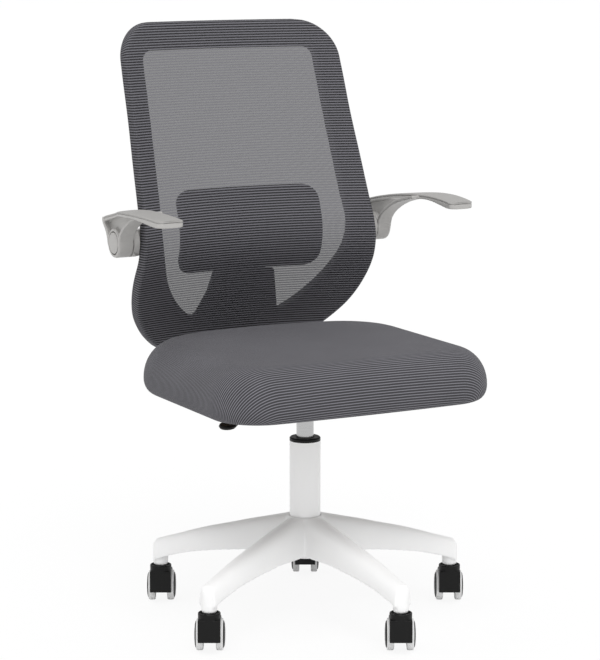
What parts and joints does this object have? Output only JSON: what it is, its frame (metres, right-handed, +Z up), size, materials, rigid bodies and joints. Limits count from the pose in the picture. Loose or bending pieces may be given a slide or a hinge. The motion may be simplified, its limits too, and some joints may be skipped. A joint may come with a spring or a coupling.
{
  "type": "office chair",
  "caption": "Swivel office chair with a padded seat, curved see-through mesh back, flip-up arms, gas height column and a wheeled star base.",
  "frame": {"origin": "on the floor, on the axis of the column", "axes": "+Z up, -Y the way the sitter faces, +X to the sitter's left"},
  "size_m": [0.608, 0.6006, 0.954],
  "materials": {
    "base_plastic": "smooth white moulded plastic",
    "tube_paint": "white powder coat",
    "black_plastic": "black moulded plastic",
    "wheel_rubber": "light grey tread",
    "bright_steel": "ground and chromed",
    "steel": "zinc plated",
    "buffer_rubber": "black rubber",
    "black_steel": "black powder coat",
    "plywood": "pressed plywood",
    "seat_fabric": "ribbed grey fabric",
    "mesh": "ribbed grey mesh",
    "pad_fabric": "dark fabric over foam",
    "frame_plastic": "grey moulded plastic",
    "arm_plastic": "warm grey moulded plastic",
    "arm_pad": "soft grey skin"
  },
  "bodies": {
    "base": {"star_base": "base_plastic", "caster_stems": "steel", "stand_tube": "tube_paint", "guide_bush": "black_plastic", "rod_clip": "steel"},
    "rod": {"piston_rod": "bright_steel", "thrust_bearing": "steel", "rod_buffer": "buffer_rubber"},
    "seat": {"pressure_cylinder": "bright_steel", "mechanism_plate": "black_steel", "lever_pivot_pin": "steel", "seat_board": "plywood", "seat_cushion": "seat_fabric", "seat_bolts": "steel", "back_bracket": "black_steel", "back_frame": "frame_plastic", "back_mesh": "mesh", "lumbar_pad": "pad_fabric", "lumbar_plate": "frame_plastic", "lumbar_carrier": "frame_plastic", "arm_bracket_right": "arm_plastic", "arm_bracket_left": "arm_plastic", "arm_pivot_bolts": "steel"},
    "release": {"release_pin": "bright_steel"},
    "lever": {"lever_rod": "black_steel", "lever_paddle": "black_plastic"},
    "right_arm": {"arm_right": "arm_plastic", "arm_pad_right": "arm_pad", "arm_cap_right": "arm_plastic"},
    "left_arm": {"arm_left": "arm_plastic", "arm_pad_left": "arm_pad", "arm_cap_left": "arm_plastic"},
    "caster_1": {"caster_1_hood": "black_plastic", "caster_1_axle": "steel"},
    "caster_1_right": {"caster_1_wheel_right": "wheel_rubber"},
    "caster_1_left": {"caster_1_wheel_left": "wheel_rubber"},
    "caster_2": {"caster_2_hood": "black_plastic", "caster_2_axle": "steel"},
    "caster_2_right": {"caster_2_wheel_right": "wheel_rubber"},
    "caster_2_left": {"caster_2_wheel_left": "wheel_rubber"},
    "caster_3": {"caster_3_hood": "black_plastic", "caster_3_axle": "steel"},
    "caster_3_right": {"caster_3_wheel_right": "wheel_rubber"},
    "caster_3_left": {"caster_3_wheel_left": "wheel_rubber"},
    "caster_4": {"caster_4_hood": "black_plastic", "caster_4_axle": "steel"},
    "caster_4_right": {"caster_4_wheel_right": "wheel_rubber"},
    "caster_4_left": {"caster_4_wheel_left": "wheel_rubber"},
    "caster_5": {"caster_5_hood": "black_plastic", "caster_5_axle": "steel"},
    "caster_5_right": {"caster_5_wheel_right": "wheel_rubber"},
    "caster_5_left": {"caster_5_wheel_left": "wheel_rubber"}
  },
  "joints": [
    {"name": "seat_swivel", "type": "hinge", "parent": "base", "child": "rod", "pos_m": [0, 0, 0.2], "axis": [0, 0, 1], "continuous": true},
    {"name": "height_lift", "type": "slide", "parent": "rod", "child": "seat", "axis": [0, 0, 1], "range_m": [0, 0.1]},
    {"name": "lever_lift", "type": "hinge", "parent": "seat", "child": "lever", "pos_m": [-0.036, 0, 0.3613], "axis": [0, 1, 0], "range_deg": [0, 6.5]},
    {"name": "release_press", "type": "slide", "parent": "seat", "child": "release", "axis": [0, 0, -1], "range_m": [0, 0.00439]},
    {"name": "right_arm_flip", "type": "hinge", "parent": "seat", "child": "right_arm", "pos_m": [-0.238, 0.185, 0.607], "axis": [-1, 0, 0], "range_deg": [0, 90]},
    {"name": "left_arm_flip", "type": "hinge", "parent": "seat", "child": "left_arm", "pos_m": [0.238, 0.185, 0.607], "axis": [-1, 0, 0], "range_deg": [0, 90]},
    {"name": "caster_1_swivel", "type": "hinge", "parent": "base", "child": "caster_1", "pos_m": [0.11831, 0.2225, 0.05], "axis": [0, 0, 1], "continuous": true},
    {"name": "caster_1_right_spin", "type": "hinge", "parent": "caster_1", "child": "caster_1_right", "pos_m": [0.12676, 0.2384, 0.025], "axis": [-0.8829, 0.4695, 0], "continuous": true},
    {"name": "caster_1_left_spin", "type": "hinge", "parent": "caster_1", "child": "caster_1_left", "pos_m": [0.12676, 0.2384, 0.025], "axis": [-0.8829, 0.4695, 0], "continuous": true},
    {"name": "caster_2_swivel", "type": "hinge", "parent": "base", "child": "caster_2", "pos_m": [-0.17505, 0.18127, 0.05], "axis": [0, 0, 1], "continuous": true},
    {"name": "caster_2_right_spin", "type": "hinge", "parent": "caster_2", "child": "caster_2_right", "pos_m": [-0.1666, 0.19717, 0.025], "axis": [-0.8829, 0.4695, 0], "continuous": true},
    {"name": "caster_2_left_spin", "type": "hinge", "parent": "caster_2", "child": "caster_2_left", "pos_m": [-0.1666, 0.19717, 0.025], "axis": [-0.8829, 0.4695, 0], "continuous": true},
    {"name": "caster_3_swivel", "type": "hinge", "parent": "base", "child": "caster_3", "pos_m": [-0.2265, -0.11047, 0.05], "axis": [0, 0, 1], "continuous": true},
    {"name": "caster_3_right_spin", "type": "hinge", "parent": "caster_3", "child": "caster_3_right", "pos_m": [-0.21805, -0.09458, 0.025], "axis": [-0.8829, 0.4695, 0], "continuous": true},
    {"name": "caster_3_left_spin", "type": "hinge", "parent": "caster_3", "child": "caster_3_left", "pos_m": [-0.21805, -0.09458, 0.025], "axis": [-0.8829, 0.4695, 0], "continuous": true},
    {"name": "caster_4_swivel", "type": "hinge", "parent": "base", "child": "caster_4", "pos_m": [0.03507, -0.24955, 0.05], "axis": [0, 0, 1], "continuous": true},
    {"name": "caster_4_right_spin", "type": "hinge", "parent": "caster_4", "child": "caster_4_right", "pos_m": [0.04352, -0.23365, 0.025], "axis": [-0.8829, 0.4695, 0], "continuous": true},
    {"name": "caster_4_left_spin", "type": "hinge", "parent": "caster_4", "child": "caster_4_left", "pos_m": [0.04352, -0.23365, 0.025], "axis": [-0.8829, 0.4695, 0], "continuous": true},
    {"name": "caster_5_swivel", "type": "hinge", "parent": "base", "child": "caster_5", "pos_m": [0.24817, -0.04376, 0.05], "axis": [0, 0, 1], "continuous": true},
    {"name": "caster_5_right_spin", "type": "hinge", "parent": "caster_5", "child": "caster_5_right", "pos_m": [0.25662, -0.02787, 0.025], "axis": [-0.8829, 0.4695, 0], "continuous": true},
    {"name": "caster_5_left_spin", "type": "hinge", "parent": "caster_5", "child": "caster_5_left", "pos_m": [0.25662, -0.02787, 0.025], "axis": [-0.8829, 0.4695, 0], "continuous": true}
  ],
  "couplings": [
    {"joint": "release_press", "follows": "lever_lift", "m_per_rad": 0.0385}
  ]
}
